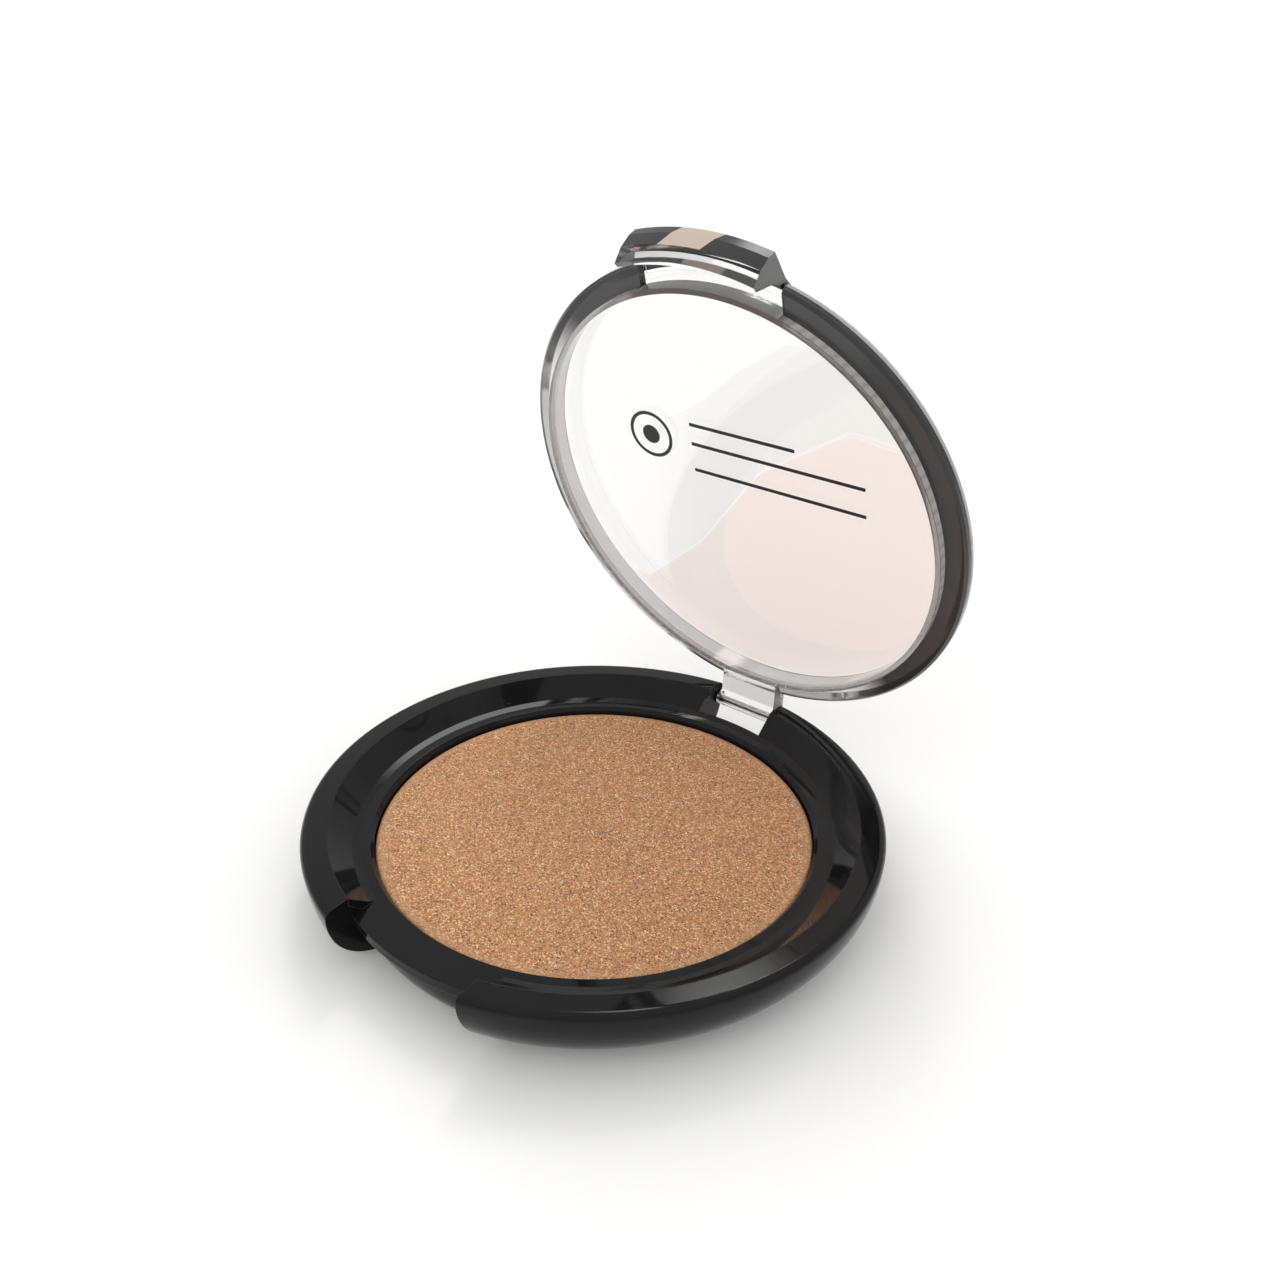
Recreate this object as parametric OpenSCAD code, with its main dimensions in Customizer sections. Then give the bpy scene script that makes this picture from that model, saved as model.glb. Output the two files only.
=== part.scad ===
// Round pressed-powder compact with a clear lid on a pin hinge.
// The base stands on z = 0 with its centre on the Z axis. The hinge is at the back (+Y),
// the finger notch and the lid's clasp at the front (-Y), and the hinge pin lies along X.

/* [Powder] */
// Outer diameter of the metal pan that holds the powder
pan_d = 60.6; // [48:0.2:74]
// Height of the pan
pan_h = 4.6; // [3:0.1:7]
// Sheet thickness of the pan
pan_t = 0.3; // [0.2:0.05:0.5]
// How far the powder stands above the pan's edge
powder_crown = 0.4; // [0.1:0.05:0.8]
// Width of the powder's rounded edge
powder_edge = 1.2; // [0.4:0.1:2.4]

/* [Inner frame] */
// Radial gap between the pan and its well
pan_fit = 0.15; // [0.05:0.05:0.3]
// Height of the flat ring above the powder
ring_rise = 0.9; // [0.4:0.1:1.6]
// Chamfer on the ring's inner edge
ring_chamfer = 0.5; // [0.2:0.05:0.8]
// Width of the flat ring around the powder
ring_w = 1.3; // [1:0.05:4]
// Width of the shallow bevel outside the ring
bevel_w = 1.05; // [0.6:0.05:2]
// Rise of the shallow bevel
bevel_h = 0.3; // [0.2:0.05:0.8]
// Width of the slope that climbs from the bevel to the lip
slope_w = 3.2; // [2.4:0.1:5]
// Rise of that slope
slope_h = 2.65; // [2:0.05:4]
// Wall thickness of the frame
frame_t = 1.2; // [0.8:0.1:1.6]
// Thickness of the well's floor
well_t = 1.0; // [0.6:0.1:1.6]

/* [Base shell] */
// Width of the lip outside the slope
lip_w = 3.5; // [2.8:0.1:4.4]
// Radius of the lip's rounded outer edge
lip_edge = 1.0; // [0.5:0.1:1.4]
// Fall of the lip from its inner to its outer edge
lip_fall = 0.1; // [0:0.05:0.3]
// Width of the bowl-shaped underside
bowl_w = 11.9; // [9:0.1:16]
// Wall thickness of the shell
shell_t = 1.6; // [1.2:0.1:2]
// Thickness of the bottom
floor_t = 1.4; // [1:0.1:2]
// Width of the finger notch at the front
notch_w = 22.4; // [14:0.2:28]
// How far the platform's front edge stays inside the lip
platform_inset = 0.35; // [0.2:0.05:1.2]
// How far the platform overhangs the wall below it
platform_over = 1.75; // [1:0.05:2.2]
// Inward lean of that wall, from its top to the table
notch_lean = 3.4; // [2:0.1:5]
// Diameter of the blank label under the base
label_d = 32; // [16:1:40]

/* [Hinge] */
// Diameter of the hinge pin
pin_d = 1.0; // [0.8:0.1:1.2]
// Length of the hinge pin
pin_len = 14.4; // [13:0.2:15]
// Distance of the pin's axis inside the rim's outermost edge
pin_inset = 1.5; // [1.4:0.05:1.8]
// Depth of the pin's axis below the lip
pin_drop = 2.45; // [2.3:0.05:2.7]
// Width of the gap in the rim for the lid's lug
gap_w = 11.4; // [9:0.2:12]
// Radius of the barrel that turns on the pin
barrel_r = 1.15; // [1:0.05:1.3]
// Radial running clearance of the barrel on the pin
pin_run = 0.05; // [0.03:0.01:0.09]
// Gap between each end of the barrel and the rim
barrel_gap = 0.3; // [0.2:0.05:0.5]
// Width of the lug that joins the lid to the barrel
lug_w = 9.8; // [6:0.2:10]

/* [Lid] */
// Opening angle of the lid, from closed
lid_open = 75; // [0:1:105]
// Radial gap between the closed lid and the lip
lid_gap = 0.5; // [0.4:0.05:0.8]
// Gap between the closed lid's edge and the slope below it
seat_gap = 0.35; // [0.3:0.05:0.6]
// Width of the lid's flat flange
flange_w = 3.1; // [2:0.05:4]
// Height of the lid's outer edge
edge_h = 1.75; // [1.2:0.05:2.4]
// Depth of the collar below the flange
collar_h = 1.3; // [0.6:0.05:1.8]
// Thickness of the collar at its tip
collar_t = 0.75; // [0.5:0.05:1]
// Height of the window's inner face above the flange
window_rise = 2.25; // [1.6:0.05:3]
// Thickness of the window
window_t = 1.2; // [0.8:0.1:2]
// Rise of the window's domed top at its centre
dome_h = 0.4; // [0:0.1:1]
// Reach of the clasp beyond the lid's edge
clasp_reach = 4.4; // [3:0.1:4.8]
// Depth of the clasp's hook below the flange
clasp_drop = 4.9; // [3:0.1:5.4]
// Gap between each end of the clasp and the notch
clasp_gap = 0.7; // [0.4:0.05:1.2]

/* [Window print] */
// Outer diameter of the plain ring printed on the window
mark_d = 7.6; // [4:0.2:10]
// Thickness of the printed lines
mark_line = 0.55; // [0.3:0.05:1]
// Length of the longer printed lines
line_len = 28.2; // [15:0.2:32]
// Thickness of the printed ink
ink_t = 0.04; // [0.03:0.01:0.1]

/* [Hidden] */
$fn = 160;
part_fit = 0.05;
big = 200;

// Radii, from the powder outwards
pan_r = pan_d / 2;
well_r = pan_r + pan_fit;
well_or = well_r + frame_t;
ring_r = well_r + ring_chamfer;
bevel_r = ring_r + ring_w;
slope_r = bevel_r + bevel_w;
lip_r = slope_r + slope_w;
base_r = lip_r + lip_w;
foot_r = base_r - bowl_w;
platform_r = lip_r - platform_inset;
notch_r = platform_r - platform_over;

// Heights, from the table upwards
glue_t = 0.3;
glue_r = 4;
pan_z = floor_t + well_t + glue_t;
powder_z = pan_z + pan_h + powder_crown;
ring_z = powder_z + ring_rise;
bevel_z = ring_z + bevel_h;
lip_z = bevel_z + slope_h;
frame_z = ring_z - frame_t;
rim_z = lip_z - lip_fall - lip_edge;
shelf_t = 1.1;
shelf_z = lip_z - frame_t - shelf_t;
shelf_r = slope_r + slope_w * 0.65;
label_recess = 0.15;
label_t = 0.1;
label_fit = 0.5;

// Hinge
pin_y = base_r - pin_inset;
pin_z = lip_z - pin_drop;
pin_r = pin_d / 2;
gap_half = gap_w / 2;
barrel_half = gap_half - barrel_gap;
lug_half = min(lug_w / 2, barrel_half);
ear_over = 0.5;
ear_half = sqrt(pow(base_r, 2) - pow(pin_y, 2)) + ear_over;
press_slip = 0.01;
lug_neck = 2;
lug_bow = 0.9;
lug_sag = 0.7;

// Lid, in its closed place
lid_r = lip_r - lid_gap;
flange_z = bevel_z + slope_h * (lid_r - slope_r) / slope_w + seat_gap;
edge_z = flange_z + edge_h;
edge_bevel = 0.4;
window_z = flange_z + window_rise;
top_z = window_z + window_t;
shoulder_w = 1.7;
shoulder_h = 0.45;
collar_r = lid_r - flange_w;
collar_z = flange_z - collar_h;
collar_draft = 0.5;
lug_root = collar_r + 0.2;
lug_top = edge_z - 0.8;
lug_under = flange_z - 1.1;
notch_half = notch_w / 2;
clasp_half = notch_half - clasp_gap;
recess_side = 0.2;
recess_h = 1.2;
recess_half = notch_half - recess_side;
recess_z = flange_z + recess_h;
clasp_r = lid_r + clasp_reach;
hook_z = flange_z - clasp_drop;
hook_r = lid_r + 1.45;
hook_chamfer = 0.4;
hook_tip_w = 0.65;
hook_front_h = 1.7;
hook_back_h = 0.9;
clasp_inset = 0.9;
clasp_lean = 0.15;
clasp_edge_h = 1.3;
clasp_root_z = recess_z - 0.2;
brow_w = 0.4;
brow_h = 0.2;
front_top = flange_z + 0.1;
shoulder_r = lid_r - shoulder_w / 2;
shoulder_z = top_z - shoulder_h;

// Points of the bowl from the foot, at height z0 and radius r0, up to its widest at r1 and z1
function bowl(r0, z0, r1, z1, n = 28) =
    [for (i = [0 : n]) [r0 + (r1 - r0) * sin(90 * i / n), z1 - (z1 - z0) * cos(90 * i / n)]];

// Points of a low dome from its edge, at radius r and height z, inwards to a small flat on the axis
function dome(r, z, rise, n = 10) =
    [for (i = [0 : n]) [r * (1 - i / n), z + rise * (1 - pow(max(1 - i / n, 1 / n), 2))]];

// Points of a quarter circle about (r, z), from straight out round to straight up
function edge_arc(r, z, a, n = 8) =
    [for (i = [0 : n]) [r + a * cos(90 * i / n), z + a * sin(90 * i / n)]];

// Slab of width 2 * half along X, on the front (-1) or back (+1) side, from z0 to z1
module slab(half, side, z0 = -1, z1 = big)
    translate([-half, side > 0 ? 0 : -big, z0]) cube([2 * half, big, z1 - z0]);

// Disc of radius r about the Z axis, from z0 to z1
module disc(r, z0, z1) translate([0, 0, z0]) cylinder(r = r, h = z1 - z0);

// The part of a slab that lies beyond radius r
module beyond(r, half, side, z0 = -1, z1 = big) difference() {
    slab(half, side, z0, z1);
    disc(r, z0 - 1, z1 + 1);
}

// Cylinder of radius r on the hinge axis, from x0 to x1
module on_axis(r, x0, x1)
    translate([x0, pin_y, pin_z]) rotate([0, 90, 0]) cylinder(r = r, h = x1 - x0, $fn = 64);

// Turns the lid about the pin by its opening angle
module opened()
    translate([0, pin_y, pin_z]) rotate([-lid_open, 0, 0]) translate([0, -pin_y, -pin_z])
        children();

// ---- Base shell: foot, bowl, rounded lip, hinge ears and finger notch ----

// The bowl's full outer form
module shell_body() rotate_extrude()
    polygon(concat([[0, 0]], bowl(foot_r, 0, base_r, rim_z),
                   edge_arc(base_r - lip_edge, rim_z, lip_edge), [[lip_r, lip_z], [0, lip_z]]));

// What the finger notch leaves of the body: a steeper bowl, set back from the rim
module notch_body() rotate_extrude()
    polygon(concat([[0, -2], [notch_r - notch_lean, -2]],
                   bowl(notch_r - notch_lean, 0, notch_r, frame_z), [[notch_r, big], [0, big]]));

// Room for the inner frame, with the shelf that carries its outer edge
module frame_seat() rotate_extrude()
    polygon([[0, floor_t], [well_or + part_fit, floor_t], [well_or + part_fit, frame_z],
             [slope_r, frame_z], [lip_r, lip_z - frame_t], [lip_r, lip_z + 1], [0, lip_z + 1]]);

// Hollow between the bowl's wall and the inner frame
module shell_hollow() rotate_extrude()
    intersection() {
        polygon(concat([[0, floor_t]], bowl(foot_r, floor_t, base_r - shell_t, rim_z),
                       [[base_r - shell_t, big], [0, big]]));
        polygon([[well_or + part_fit, floor_t], [big, floor_t], [big, shelf_z],
                 [shelf_r, shelf_z], [slope_r, frame_z],
                 [well_or + part_fit, frame_z]]);
    }

module base_shell() color([0.16, 0.16, 0.165]) difference() {
    shell_body();
    frame_seat();
    difference() {
        shell_hollow();
        slab(ear_half, 1);
        slab(notch_half + shell_t, -1);
    }
    beyond(slope_r, gap_half, 1);
    difference() {
        slab(notch_half, -1);
        notch_body();
    }
    beyond(well_or, notch_half, -1, frame_z);
    on_axis(pin_r + press_slip, -pin_len / 2, base_r);
    disc(label_d / 2 + label_fit, -1, label_recess);
}

// ---- Inner frame: the pan's well, flat ring, slope up to the lip, and front platform ----

module inner_frame() color([0.17, 0.17, 0.175]) {
    difference() {
        rotate_extrude()
            polygon([[0, floor_t], [well_or, floor_t], [well_or, frame_z], [slope_r, frame_z],
                     [lip_r - part_fit, lip_z - frame_t], [lip_r - part_fit, lip_z - 0.04],
                     [slope_r, bevel_z], [bevel_r, ring_z], [ring_r, ring_z],
                     [well_r, ring_z - ring_chamfer], [well_r, floor_t + well_t],
                     [0, floor_t + well_t]]);
        beyond(slope_r, gap_half, 1);
        beyond(bevel_r, notch_half, -1);
    }
    intersection() {
        difference() {
            disc(platform_r, frame_z, ring_z);
            disc(ring_r + ring_w / 2, frame_z - 1, ring_z + 1);
        }
        slab(notch_half, -1);
    }
}

// ---- Powder pressed into its metal pan ----

module powder_pan() color([0.78, 0.78, 0.79]) rotate_extrude()
    polygon([[0, pan_z], [pan_r - pan_t, pan_z], [pan_r, pan_z + pan_t], [pan_r, pan_z + pan_h],
             [pan_r - pan_t, pan_z + pan_h], [pan_r - pan_t, pan_z + pan_t], [0, pan_z + pan_t]]);

module powder_cake() color([0.72, 0.50, 0.35]) {
    cake_r = pan_r - pan_t;
    rotate_extrude()
        polygon(concat([[0, pan_z + pan_t], [cake_r, pan_z + pan_t]],
                       [for (a = [0 : 10 : 90]) [cake_r - powder_edge * (1 - cos(a)),
                                                 powder_z - powder_crown * (1 - sin(a))]],
                       [[0, powder_z]]));
}

// Three dabs of hot melt between the well's floor and the pan
module pan_glue() color([0.9, 0.88, 0.78])
    for (a = [30, 150, 270]) rotate([0, 0, a]) translate([pan_r / 2, 0, floor_t + well_t])
        cylinder(r = glue_r, h = glue_t, $fn = 48);

module base_label() color([0.95, 0.95, 0.93])
    disc(label_d / 2, label_recess - label_t, label_recess);

module hinge_pin() color([0.75, 0.76, 0.78]) on_axis(pin_r, -pin_len / 2, pin_len / 2);

// ---- Lid: one clear moulding with window, collar, flange, clasp and hinge lug ----

// Round body of the lid, with a recess in its flange behind the clasp
module lid_disc() difference() {
    rotate_extrude()
        polygon(concat([[0, window_z], [collar_r - collar_t + collar_draft, window_z],
                        [collar_r - collar_t, collar_z], [collar_r, collar_z],
                        [collar_r, flange_z], [lid_r - edge_bevel, flange_z],
                        [lid_r, flange_z + edge_bevel], [lid_r, edge_z],
                        [shoulder_r, shoulder_z]],
                       dome(lid_r - shoulder_w, top_z, dome_h)));
    beyond(collar_r, recess_half, -1, -1, recess_z);
}

// Clasp: a hooked bar whose undercut front is the finger lift
module clasp() intersection() {
    rotate_extrude()
        polygon([[lid_r - 0.3, clasp_root_z], [hook_r - 0.6, flange_z - hook_back_h],
                 [hook_r, hook_z + hook_chamfer], [hook_r + hook_tip_w, hook_z],
                 [clasp_r - clasp_inset, hook_z + hook_front_h],
                 [clasp_r - clasp_lean, flange_z - clasp_edge_h], [clasp_r, front_top],
                 [lid_r + brow_w, edge_z + brow_h], [shoulder_r, shoulder_z],
                 [lid_r - shoulder_w, shoulder_z], [lid_r - shoulder_w, clasp_root_z]]);
    slab(clasp_half, -1);
}

// Lug from the flange to the barrel on the hinge pin
module lug() difference() {
    union() {
        translate([-lug_half, 0, 0]) rotate([90, 0, 90]) linear_extrude(2 * lug_half)
            polygon([[lug_root, lug_top], [lug_root, lug_under], [pin_y - lug_neck, pin_z + 0.2],
                     [pin_y - lug_bow, pin_z - lug_sag], [pin_y, pin_z],
                     [pin_y + barrel_r - part_fit, pin_z + 0.3], [pin_y + 0.3, front_top],
                     [lid_r, lug_top]]);
        on_axis(barrel_r, -barrel_half, barrel_half);
    }
    on_axis(pin_r + pin_run, -base_r, base_r);
}

module lid() color([0.85, 0.86, 0.87, 0.45]) opened() {
    lid_disc();
    clasp();
    lug();
}

// ---- Plain mark on the window's inner face: a ring with a dot, and three fine lines ----

module window_print() color([0.08, 0.08, 0.08]) opened() translate([0, 0, window_z - ink_t]) {
    mark_x = -line_len * 0.54;
    mark_y = -6.3;
    line_x = -line_len * 0.28;
    translate([mark_x, mark_y]) difference() {
        cylinder(d = mark_d, h = ink_t);
        translate([0, 0, -1]) cylinder(d = mark_d - 2 * mark_line, h = 3);
    }
    translate([mark_x, mark_y]) cylinder(d = mark_d * 0.4, h = ink_t, $fn = 64);
    for (y = [-6.8, -2.4])
        translate([line_x, y]) cube([line_len, mark_line, ink_t]);
    translate([line_x, -10]) cube([line_len * 0.62, mark_line, ink_t]);
}

base_shell();
inner_frame();
pan_glue();
powder_pan();
powder_cake();
base_label();
hinge_pin();
lid();
window_print();
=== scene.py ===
"""Round pressed-powder compact, open at 75 degrees, with a clear lid on a pin hinge."""

import math

import bpy
import numpy as np
from mathutils import Euler, Matrix, Vector


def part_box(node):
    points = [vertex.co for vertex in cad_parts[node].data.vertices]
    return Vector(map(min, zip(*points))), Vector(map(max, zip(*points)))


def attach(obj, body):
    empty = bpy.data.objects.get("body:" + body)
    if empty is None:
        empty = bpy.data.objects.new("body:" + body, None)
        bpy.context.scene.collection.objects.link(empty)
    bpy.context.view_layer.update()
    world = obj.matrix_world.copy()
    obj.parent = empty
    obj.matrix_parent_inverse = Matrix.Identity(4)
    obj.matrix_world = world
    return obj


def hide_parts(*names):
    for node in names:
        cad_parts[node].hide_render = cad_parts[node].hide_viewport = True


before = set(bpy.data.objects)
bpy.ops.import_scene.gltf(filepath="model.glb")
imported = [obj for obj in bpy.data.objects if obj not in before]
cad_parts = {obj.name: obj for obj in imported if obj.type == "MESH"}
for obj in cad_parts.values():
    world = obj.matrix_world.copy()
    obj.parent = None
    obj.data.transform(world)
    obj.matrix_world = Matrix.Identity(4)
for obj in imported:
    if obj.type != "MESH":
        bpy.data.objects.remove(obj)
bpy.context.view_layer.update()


# ---- Table top, studio and camera ----
# A pale seamless table under an even white studio, brighter overhead than at the
# horizon, with a strip light high at the back and two broad lamps, back and front.

class Value:
    """A socket to reckon with: each operator adds the Math node that it stands for."""

    def __init__(self, graph, socket):
        self.graph, self.socket = graph, socket

    def maths(self, operation, *terms):
        return self.graph.add("ShaderNodeMath", {"operation": operation}, dict(enumerate(terms)))

    def __add__(self, other):
        return self.maths("ADD", self, other)

    def __sub__(self, other):
        return self.maths("SUBTRACT", self, other)

    def __rsub__(self, other):
        return self.maths("SUBTRACT", other, self)

    def __mul__(self, other):
        return self.maths("MULTIPLY", self, other)

    def __truediv__(self, other):
        return self.maths("DIVIDE", self, other)

    def __pow__(self, other):
        return self.maths("POWER", self, other)

    __radd__ = __add__
    __rmul__ = __mul__

    def clamped(self):
        return self.graph.add("ShaderNodeClamp", {}, {"Value": self})

    def step(self, start, end):
        """0 below start and 1 above end, turning smoothly between them."""
        return self.graph.add("ShaderNodeMapRange", {"interpolation_type": "SMOOTHSTEP"},
                              {"Value": self, "From Min": start, "From Max": end})


class Graph:
    """The nodes of one material or world, every one of them made by add()."""

    def __init__(self, owner):
        owner.use_nodes = True
        self.tree = owner.node_tree
        self.tree.nodes.clear()

    def add(self, kind, settings, sockets, out=0):
        """A node of that kind: first its settings, or its ramp's stops, then its sockets' values
        or links."""
        node = self.tree.nodes.new(kind)
        for key, value in settings.items():
            if key == "stops":
                ramp = node.color_ramp.elements
                while len(ramp) < len(value):
                    ramp.new(0.5)
                for element, (place, level) in zip(ramp, value):
                    element.position = place
                    element.color = (level, level, level, 1)
            else:
                setattr(node, key, value)
        for key, value in sockets.items():
            if isinstance(value, Value):
                self.tree.links.new(value.socket, node.inputs[key])
            else:
                node.inputs[key].default_value = value
        return Value(self, node.outputs[out])

    def place(self, rotation=(0, 0, 0), shift=(0, 0, 0)):
        """Object coordinates, turned and then shifted."""
        here = self.add("ShaderNodeTexCoord", {}, {}, out=3)
        return self.add("ShaderNodeMapping", {},
                        {"Vector": here, "Rotation": rotation, "Location": shift})

    def axes(self, vector):
        """The three parts of a vector."""
        parts = self.add("ShaderNodeSeparateXYZ", {}, {"Vector": vector})
        return [Value(self, s) for s in parts.socket.node.outputs]

    def noise(self, vector, grain, detail=3.0, rough=0.5):
        """Cloudy noise whose lumps are about one grain across, in metres."""
        return self.add("ShaderNodeTexNoise", {}, {"Vector": vector, "Scale": 1 / grain,
                                                   "Detail": detail, "Roughness": rough})

    def blend(self, share, first, second):
        """The first colour where the share is 0 and the second where it is 1."""
        return self.add("ShaderNodeMix", {"data_type": "RGBA"},
                        {0: share, 6: first, 7: second}, out=2)

    def relief(self, height, depth, **extra):
        """A bump of that depth in metres."""
        return self.add("ShaderNodeBump", {}, {"Height": height, "Distance": depth, **extra})


def finish(name, make):
    """A material: make fills its graph and returns the shader, which goes to the output."""
    material = bpy.data.materials.new(name)
    graph = Graph(material)
    shader = make(graph)
    output = graph.tree.nodes.new("ShaderNodeOutputMaterial")
    graph.tree.links.new(shader.socket, output.inputs["Surface"])
    return material


def table_finish(g):
    cloud = g.noise(g.place(), 0.4, 2)
    shade = g.blend(cloud, (0.955, 0.955, 0.955, 1), (0.975, 0.972, 0.968, 1))
    fleck = g.relief(g.noise(g.place(), 0.0012), 0.00002)
    return g.add("ShaderNodeBsdfPrincipled", {}, {"Base Color": shade, "Roughness": 0.85,
                                                  "Specular IOR Level": 0.1, "Normal": fleck})


TABLE_HALF = 9.0
table = bpy.data.meshes.new("table_top")
corners = np.array([(-1, -1, 0), (1, -1, 0), (1, 1, 0), (-1, 1, 0)]) * TABLE_HALF
table.from_pydata(corners.tolist(), [], [(0, 1, 2, 3)])
table_top = bpy.data.objects.new("table_top", table)
bpy.context.scene.collection.objects.link(table_top)
table.materials.append(finish("table_white", table_finish))

HORIZON, ZENITH, STRIP_GAIN = 0.59, 0.97, 8.0
world = bpy.data.worlds.new("studio")
bpy.context.scene.world = world
sky = Graph(world)
east, north, up = sky.axes(sky.add("ShaderNodeTexCoord", {}, {}))
west = east * -1
strip = west.step(0.19, 0.23) * (1 - west.step(0.32, 0.40)) * up.step(0.60, 0.65)
strip = strip * north.step(0.32, 0.40) * (1 - north.step(0.58, 0.66))
glow = sky.add("ShaderNodeBackground", {}, {
    "Color": (1.0, 0.995, 0.985, 1),
    "Strength": up.clamped() * (ZENITH - HORIZON) + HORIZON + strip * STRIP_GAIN})
sky.tree.links.new(glow.socket, sky.tree.nodes.new("ShaderNodeOutputWorld").inputs[0])

# name, strength, spread in degrees, and the direction that the light comes from
LAMPS = (("back_lamp", 0.12, 50, (-0.35, 0.5, 0.85)),
         ("front_fill", 1.0, 80, (0.35, -0.75, 0.42)))
for name, strength, spread, source in LAMPS:
    lamp = bpy.data.objects.new(name, bpy.data.lights.new(name, "SUN"))
    lamp.data.energy = strength
    lamp.data.angle = math.radians(spread)
    lamp.rotation_euler = Vector(source).to_track_quat("Z", "Y").to_euler()
    lamp.visible_glossy = False
    bpy.context.scene.collection.objects.link(lamp)

CAMERA_AT = (0.091264, -0.109810, 0.114680)
AZIMUTH, PITCH, ROLL = (math.radians(a) for a in (37.40, 28.38, 0.98))
SENSOR = 36
FOCAL_SHARE = 1257.25 / 1280
back = Vector((math.sin(AZIMUTH) * math.cos(PITCH), -math.cos(AZIMUTH) * math.cos(PITCH),
               math.sin(PITCH)))
right = Vector((math.cos(AZIMUTH), math.sin(AZIMUTH), 0))
above = back.cross(right)
right, above = (math.cos(ROLL) * right + math.sin(ROLL) * above,
                math.cos(ROLL) * above - math.sin(ROLL) * right)
camera = bpy.data.objects.new("camera", bpy.data.cameras.new("camera"))
camera.data.sensor_width = SENSOR
camera.data.lens = SENSOR * FOCAL_SHARE
camera.data.clip_start = 0.005
turned = Matrix((right, above, back)).transposed().to_4x4()
camera.matrix_world = Matrix.Translation(CAMERA_AT) @ turned
bpy.context.scene.collection.objects.link(camera)
bpy.context.scene.camera = camera
bpy.context.scene.view_settings.view_transform = "Standard"


# ---- Base shell and inner frame ----
# Two mouldings in gloss black styrene. The frame drops into the shell and is
# pressed home, so the only seam that shows runs along the lip's inner edge.

MM = 0.001
EDGE_ROUNDING = 0.14 * MM


def gloss_black(g):
    here = g.place()
    flow = g.noise(here, 0.018, 2)
    grime = g.noise(here, 0.0009, 4, 0.6)
    dust = g.add("ShaderNodeTexVoronoi", {}, {"Vector": here, "Scale": 1 / 0.0016})
    speck = 1 - dust.step(0.02, 0.05)
    shade = g.blend(flow, (0.0055, 0.0055, 0.006, 1), (0.009, 0.009, 0.0088, 1))
    shade = g.blend(speck * 0.25, shade, (0.11, 0.10, 0.09, 1))
    rounding = g.add("ShaderNodeBevel", {"samples": 6}, {"Radius": EDGE_ROUNDING})
    flat = g.add("ShaderNodeNewGeometry", {}, {}, out=1)
    facing = g.add("ShaderNodeVectorMath", {"operation": "DOT_PRODUCT"},
                   {0: rounding, 1: flat}, out=1)
    # painted highlight: a thin lighter line along every rounded edge, where the bevelled normal turns
    # away from the flat one; these edges are also made rougher
    painted_edge_highlight = (1 - facing).step(0.03, 0.22)
    shade = g.blend(painted_edge_highlight * 0.35, shade, (0.14, 0.14, 0.14, 1))
    ripple = g.relief(flow + grime * 0.02, 0.00002, Normal=rounding)
    return g.add("ShaderNodeBsdfPrincipled", {}, {
        "Base Color": shade, "Roughness": 0.035 + grime * 0.04 + speck * 0.3 + painted_edge_highlight * 0.1,
        "IOR": 1.46, "Specular IOR Level": 0.19, "Normal": ripple})


black_plastic = finish("gloss_black", gloss_black)
for name in ("base_shell", "inner_frame"):
    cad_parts[name].material_slots[0].material = black_plastic


# ---- Blank label ----
# A round paper sticker in the shallow recess under the foot, with nothing on it.

def label_paper(g):
    fibre = g.noise(g.place(), 0.0003, 6, 0.7)
    shade = g.blend(fibre, (0.80, 0.79, 0.76, 1), (0.90, 0.90, 0.88, 1))
    return g.add("ShaderNodeBsdfPrincipled", {}, {
        "Base Color": shade, "Roughness": 0.75 + fibre * 0.15, "Normal": g.relief(fibre, 0.00002)})


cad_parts["base_label"].material_slots[0].material = finish("label_paper", label_paper)


# ---- Dabs of hot melt ----
# Three milky dabs on the well's floor that hold the pan down.

def hot_melt(g):
    blob = g.noise(g.place(), 0.0025, 2)
    shade = g.blend(blob, (0.72, 0.66, 0.48, 1), (0.86, 0.82, 0.68, 1))
    return g.add("ShaderNodeBsdfPrincipled", {}, {"Base Color": shade, "Roughness": 0.25 + blob * 0.2,
                                                  "Subsurface Weight": 0.2,
                                                  "Normal": g.relief(blob, 0.0001)})


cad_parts["pan_glue"].material_slots[0].material = finish("hot_melt", hot_melt)


# ---- Metal pan ----
# A drawn aluminium pan, with faint rings left by the drawing die. Powder dust clings to
# the top of its wall, thicker towards the rim.

DUST_Z = (6.9 * MM, 7.28 * MM)


def drawn_aluminium(g):
    here = g.place()
    x, y, z = g.axes(here)
    radius = (x * x + y * y) ** 0.5
    rings = g.add("ShaderNodeTexNoise", {"noise_dimensions": "1D"},
                  {"W": radius, "Scale": 1 / 0.0002})
    dust = z.step(*DUST_Z)
    shade = g.blend(rings, (0.66, 0.66, 0.67, 1), (0.80, 0.80, 0.81, 1))
    shade = g.blend(dust * 0.96, shade, (0.16, 0.085, 0.045, 1))
    return g.add("ShaderNodeBsdfPrincipled", {}, {"Base Color": shade, "Metallic": 1 - dust,
                                                  "Roughness": 0.28 + rings * 0.15 + dust * 0.4,
                                                  "Normal": g.relief(rings, 0.00001)})


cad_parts["powder_pan"].material_slots[0].material = finish("drawn_aluminium", drawn_aluminium)


# ---- Pressed powder ----
# One cake of bronze shimmer powder pressed into the pan, with a softly rounded
# edge and mica flecks in its face.

CAKE_EDGE_WIDTH = 0.8 * MM
CAKE_EDGE_DROP = 0.36 * MM
CAKE_OVERHANG = 0.26 * MM
CAKE_SINK = 0.02 * MM
PRESS_RING = 28.0 * MM
GROOVE_WIDTH = 0.6 * MM
GROOVE_DEPTH = 0.07 * MM
FINE_FROM = 25 * MM
CAKE_TURNS = 240


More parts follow.
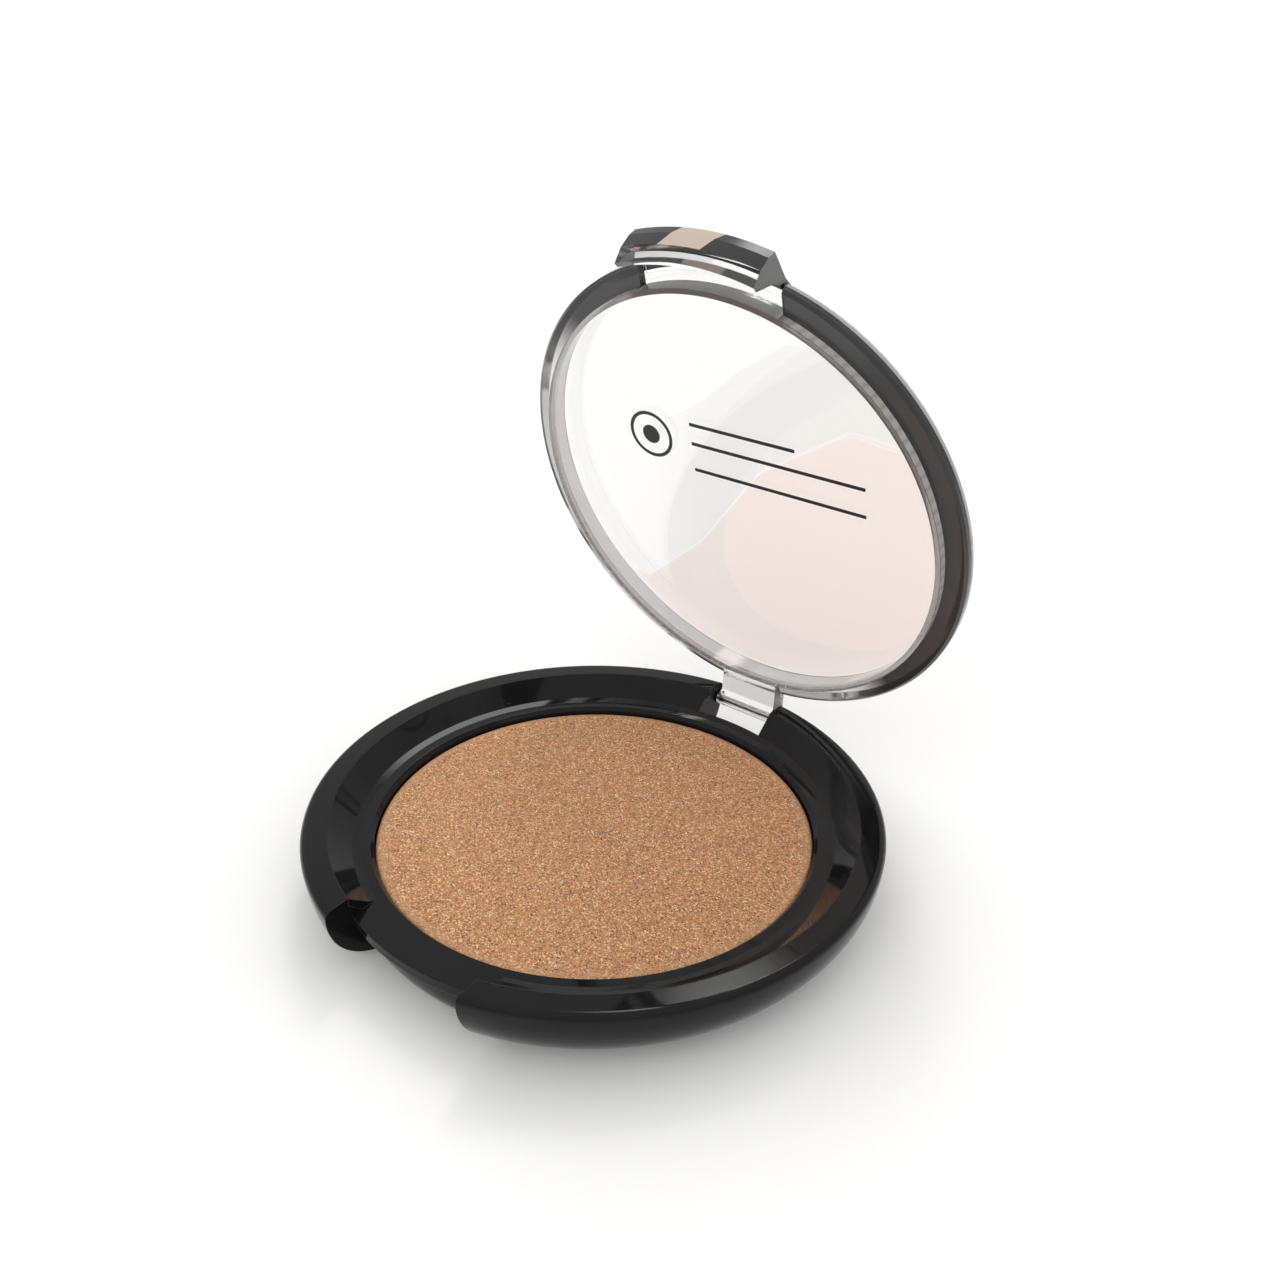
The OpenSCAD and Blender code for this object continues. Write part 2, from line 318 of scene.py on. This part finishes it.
def revolve(name, radius, height, turns, wave):
    """Closed surface of revolution. Ring i is the circle of radius[i] at height[i], lifted by
    wave(x, y). The first and last profile points lie on the axis and become the two poles."""
    turn = np.linspace(0, 2 * np.pi, turns, endpoint=False)
    x = np.outer(radius[1:-1], np.cos(turn))
    y = np.outer(radius[1:-1], np.sin(turn))
    z = np.repeat(height[1:-1, None], turns, 1) + wave(x, y)
    rings = np.stack([x, y, z], -1).reshape(-1, 3)
    points = np.vstack([rings, [[0, 0, height[0]], [0, 0, height[-1]]]])
    here = np.arange(turns)
    after = (here + 1) % turns
    row = np.arange(len(radius) - 3)[:, None] * turns
    quads = np.stack([row + here, row + after, row + turns + after, row + turns + here], -1)
    last = (len(radius) - 3) * turns
    low_fan = np.stack([np.full(turns, len(rings)), after, here], -1)
    top_fan = np.stack([last + here, last + after, np.full(turns, len(rings) + 1)], -1)
    mesh = bpy.data.meshes.new(name)
    mesh.from_pydata(points.tolist(), [], quads.reshape(-1, 4).tolist() + low_fan.tolist()
                     + top_fan.tolist())
    mesh.shade_smooth()
    piece = bpy.data.objects.new(name, mesh)
    bpy.context.scene.collection.objects.link(piece)
    return piece


def press_wave(x, y):
    """Face left by the press: crossed sines 0.015 mm high that die out near the rim, less a
    shallow ring groove whose depth falls off as a bell curve either side of the ring."""
    radius = np.hypot(x, y)
    calm = np.clip((0.0275 - radius) / 0.004, 0, 1)
    swell = np.sin(x * 410 + 1.3) * np.sin(y * 370) + 0.5 * np.sin(x * 930 - y * 610)
    groove = np.exp(-((radius - PRESS_RING) / GROOVE_WIDTH) ** 2)
    return 0.00001 * swell * calm - GROOVE_DEPTH * groove


cake_low, cake_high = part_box("powder_cake")
cake_r = cake_high.x
rim_r = cake_r + CAKE_OVERHANG
pan_rim_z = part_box("powder_pan")[1].z
arc = np.radians(np.linspace(0, 90, 9))
edge_radius = rim_r - CAKE_EDGE_WIDTH * (1 - np.cos(arc))
edge_height = cake_high.z - CAKE_EDGE_DROP * (1 - np.sin(arc)) - CAKE_SINK
face_radius = np.concatenate([np.linspace(edge_radius[-1], FINE_FROM, 26)[1:],
                              np.linspace(FINE_FROM, 0, 24)[1:]])
cake_profile_r = np.concatenate([[0, cake_r * 0.5, cake_r, cake_r], edge_radius, face_radius])
cake_profile_z = np.concatenate([[cake_low.z] * 3, [pan_rim_z + 0.01 * MM], edge_height,
                                 np.full(len(face_radius), cake_high.z - CAKE_SINK)])
cake = revolve("pressed_powder", cake_profile_r, cake_profile_z, CAKE_TURNS, press_wave)


def shimmer_powder(g):
    here = g.place()
    x, y, z = g.axes(here)
    radius = (x * x + y * y) ** 0.5
    grain = g.noise(here, 0.00016, 5, 0.8)
    lumps = g.noise(here, 0.004, 3)
    flake = g.add("ShaderNodeTexVoronoi", {}, {"Vector": here, "Scale": 1 / 0.00017}, out=1)
    lot = g.axes(flake)[0]
    glint = lot.step(0.74, 0.97)
    pit = (1 - lot).step(0.70, 0.97)
    shade = g.blend(lumps, (0.66, 0.295, 0.118, 1), (0.72, 0.33, 0.138, 1))
    shade = g.blend(grain.step(0.42, 0.60) * 0.6, shade, (0.33, 0.135, 0.046, 1))
    shade = g.blend(pit * 0.92, shade, (0.10, 0.045, 0.018, 1))
    shade = g.blend(glint * 0.9, shade, (1.0, 0.76, 0.44, 1))
    # painted highlight: a lighter ring just inside the cake's rounded edge
    rim = radius.step(0.0286, 0.0293)
    shade = g.blend(rim * 0.35, shade, (0.62, 0.37, 0.20, 1))
    relief = g.relief(grain + glint * 0.6 + pit * -0.5, 0.00008)
    return g.add("ShaderNodeBsdfPrincipled", {}, {
        "Base Color": shade, "Roughness": 0.62 - glint * 0.3, "Metallic": glint * 0.6 + 0.12,
        "Sheen Weight": 0.12, "Normal": relief})


cake.data.materials.append(finish("shimmer_powder", shimmer_powder))
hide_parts("powder_cake")
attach(cake, "base")


# ---- Hinge pin ----
# A straight steel pin through the rim's two ears, with drawing lines along it.

def drawn_steel(g):
    x, y, z = g.axes(g.place())
    lines = g.noise(g.add("ShaderNodeCombineXYZ", {}, {0: x * 0.05, 1: y, 2: z}), 0.00008, 2)
    shade = g.blend(lines, (0.50, 0.50, 0.52, 1), (0.66, 0.66, 0.67, 1))
    return g.add("ShaderNodeBsdfPrincipled", {}, {"Base Color": shade, "Metallic": 1.0,
                                                  "Roughness": 0.18 + lines * 0.15,
                                                  "Normal": g.relief(lines, 0.00001)})


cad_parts["hinge_pin"].material_slots[0].material = finish("drawn_steel", drawn_steel)


# ---- Lid ----
# One clear styrene moulding: window, collar, flange, clasp and hinge lug. Reflections are painted on
# it: dark on the flange and the clasp's front, pale and mauve on the collar's wall, and two faint
# patches on the window.

PIN_Y, PIN_Z = 38.5 * MM, 9.1 * MM
OPENED = math.radians(75)


def lid_axes(g):
    """Object coordinates turned back about the pin by the opening angle: those of the closed lid."""
    turn = Euler((OPENED, 0, 0)).to_matrix()
    pin = Vector((0, PIN_Y, PIN_Z))
    place = g.place((OPENED, 0, 0), tuple(pin - turn @ pin))
    return place, g.axes(place)


# Borders of the two painted reflections on the window, as (x, y) on the closed lid in millimetres
GREY_BORDER = ((-12, -9.5), (-5.7, -13.8), (2, -20.5), (9.9, -25.8), (15.7, -25.4), (24, -21))
PINK_BORDER = ((-20.6, 21.6), (-9.2, 11.5), (3.3, -4.7), (17.3, -14.2), (19.5, -14.6), (25.9, -13.8))
SPAN = 40.0

# Places on the closed lid: radii from the middle, heights, and distances across
COLLAR_R = 32.0 * MM
FLANGE_R = 32.9 * MM
WINDOW_R = 32.6 * MM
BRIM_R = 35.0 * MM
FRONT_R = 38.3 * MM
BRIM_Z = 12.65 * MM
WALL_TOP_Z = 13.45 * MM
WINDOW_Z = 13.55 * MM


def beyond_border(g, x, y, border):
    """How far y lies past a border given as (x, y) points, in metres: the ramp holds y as a grey."""
    stops = [((px + SPAN) / (2 * SPAN), (py + SPAN) / (2 * SPAN)) for px, py in border]
    level = g.add("ShaderNodeValToRGB", {"stops": stops}, {"Fac": (x / MM + SPAN) / (2 * SPAN)})
    return y - (level * (2 * SPAN) - SPAN) * MM


def clear_styrene(g):
    place, (x, y, z) = lid_axes(g)
    radius = (x * x + y * y) ** 0.5
    turn = x.maths("ARCTAN2", x, y * -1)
    aside = x.maths("ABSOLUTE", x)
    scuff = g.noise(place, 0.0012, 4, 0.6)
    cloud = g.noise(place, 0.010, 2)

    # the flange's painted dark reflection runs from the clasp's left, over the right side, to near the
    # hinge
    flank = turn.step(-1.15, -0.75) * (1 - turn.step(2.35, 2.66))
    band = radius.step(FLANGE_R - 0.04 * MM, FLANGE_R + 0.02 * MM)
    at_clasp = (1 - y.step(-31.0 * MM, -30.5 * MM)) * (1 - aside.step(10.90 * MM, 10.95 * MM))
    body = band * (1 - at_clasp) * (1 - z.step(BRIM_Z - 0.05 * MM, BRIM_Z))
    dark_flange_reflection = body * flank
    lug = y.step(33.0 * MM, 33.1 * MM) * (1 - aside.step(4.93 * MM, 4.97 * MM))
    lug = lug * (1 - z.step(11.40 * MM, 11.44 * MM))
    # painted reflection: a brown-grey on the lug's right side
    lug_side = lug * x.step(4.86 * MM, 4.88 * MM)
    # painted reflection: elsewhere on the flange, away from the lug, the clear plastic is greyed
    silvery_flange_reflection = body * (1 - flank) * (1 - lug)
    # painted highlight: a pale line round the flange's outer edge, above the dark band
    brim_highlight = band * (1 - at_clasp) * z.step(BRIM_Z, BRIM_Z + 0.05 * MM)
    brim_highlight = brim_highlight * radius.step(BRIM_R, BRIM_R + 0.05 * MM)

    # the collar's wall carries painted reflections: dark behind the clasp, mauve on the left, silvery
    # on the right
    collar = radius.step(COLLAR_R - 0.05 * MM, COLLAR_R)
    wall = (collar - band) * (1 - z.step(WALL_TOP_Z - 0.05 * MM, WALL_TOP_Z + 0.05 * MM))
    # painted reflection: a dark line on the collar's tip
    tip = collar * (1 - radius.step(33.0 * MM, 33.05 * MM))
    tip = tip * (1 - z.step(10.26 * MM, 10.34 * MM))
    wall_dark = 1 - turn.maths("ABSOLUTE", turn).step(0.30, 0.42)
    wall_left = 1 - turn.step(-0.9, -0.5)

    # the clasp's front face and end carry the dark painted reflection too, with a slanting beige
    # painted reflection across the front
    front = radius.step(FRONT_R - 0.05 * MM, FRONT_R + 0.05 * MM) * at_clasp
    front = front * z.step(8.28 * MM, 8.32 * MM)
    end = aside.step(10.46 * MM, 10.48 * MM) * radius.step(36.0 * MM, 36.1 * MM) * at_clasp
    along = x - (z - 8.5 * MM) * 0.55
    beige_reflection = along.step(-4.6 * MM, -4.5 * MM) * (1 - along.step(1.9 * MM, 2.0 * MM)) * front

    # painted reflections on the window: a grey patch and, past the second border, a pink patch with a
    # paler line along its edge
    window = 1 - radius.step(WINDOW_R - 0.1 * MM, WINDOW_R)
    window = window * z.step(WINDOW_Z - 0.05 * MM, WINDOW_Z + 0.05 * MM)
    grey = beyond_border(g, x, y, GREY_BORDER).step(0.0, 0.25 * MM) * window
    grey = grey * x.step(-20 * MM, -3 * MM)
    past = beyond_border(g, x, y, PINK_BORDER)
    pink = past.step(0.0, 0.2 * MM) * window
    line = pink * (1 - past.step(0.3 * MM, 0.6 * MM))
    clear_tint_and_reflections = g.blend(window, (0.96, 0.955, 0.95, 1), (0.94, 0.935, 0.925, 1))
    clear_tint_and_reflections = g.blend(grey, clear_tint_and_reflections, (0.875, 0.87, 0.86, 1))
    clear_tint_and_reflections = g.blend(pink, clear_tint_and_reflections, (0.905, 0.82, 0.795, 1))
    clear_tint_and_reflections = g.blend(line, clear_tint_and_reflections, (0.97, 0.94, 0.93, 1))
    clear_tint_and_reflections = g.blend(silvery_flange_reflection * 0.7, clear_tint_and_reflections, (0.42, 0.41, 0.40, 1))
    clear = g.add("ShaderNodeBsdfPrincipled", {}, {
        "Base Color": clear_tint_and_reflections, "Roughness": scuff * 0.02, "IOR": 1.49, "Transmission Weight": 1.0,
        "Normal": g.relief(scuff, 0.000001)})

    # colours of the painted reflections on the lid, with the pale edge highlight among them
    dark = g.blend(cloud, (0.022, 0.022, 0.023, 1), (0.034, 0.034, 0.034, 1))
    dark = g.blend(end, dark, (0.12, 0.12, 0.12, 1))
    dark = g.blend(beige_reflection, dark, (0.54, 0.44, 0.36, 1))
    dark = g.blend(brim_highlight, dark, (0.82, 0.82, 0.81, 1))
    walled = g.blend(wall_left, (0.62, 0.60, 0.58, 1), (0.44, 0.39, 0.39, 1))
    walled = g.blend(wall_dark, walled, (0.08, 0.08, 0.08, 1))
    dark = g.blend(wall, dark, walled)
    dark = g.blend(lug_side, dark, (0.17, 0.14, 0.125, 1))
    dark = g.blend(tip, dark, (0.09, 0.075, 0.07, 1))
    reflection_paint = g.add("ShaderNodeBsdfPrincipled", {}, {
        "Base Color": dark, "Roughness": 0.14 + scuff * 0.08, "Specular IOR Level": 0.35,
        "Normal": g.relief(scuff, 0.000002)})
    share = (dark_flange_reflection + front + end).clamped() * 0.97
    share = share + brim_highlight * 0.4 + wall * (wall_dark * 0.5 + 0.33) + lug_side * 0.85 + tip * 0.3
    return g.add("ShaderNodeMixShader", {}, {0: share.clamped(), 1: clear, 2: reflection_paint})


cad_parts["lid"].material_slots[0].material = finish("clear_styrene", clear_styrene)


# ---- Print on the window ----
# A plain ring with a dot, and three fine lines, screen printed inside the window.

def screen_ink(g):
    mesh = g.noise(g.place(), 0.0002, 3, 0.6)
    shade = g.blend(mesh, (0.004, 0.004, 0.004, 1), (0.016, 0.016, 0.016, 1))
    return g.add("ShaderNodeBsdfPrincipled", {}, {"Base Color": shade, "Roughness": 0.35 + mesh * 0.25,
                                                  "Normal": g.relief(mesh, 0.00001)})


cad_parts["window_print"].material_slots[0].material = finish("screen_ink", screen_ink)
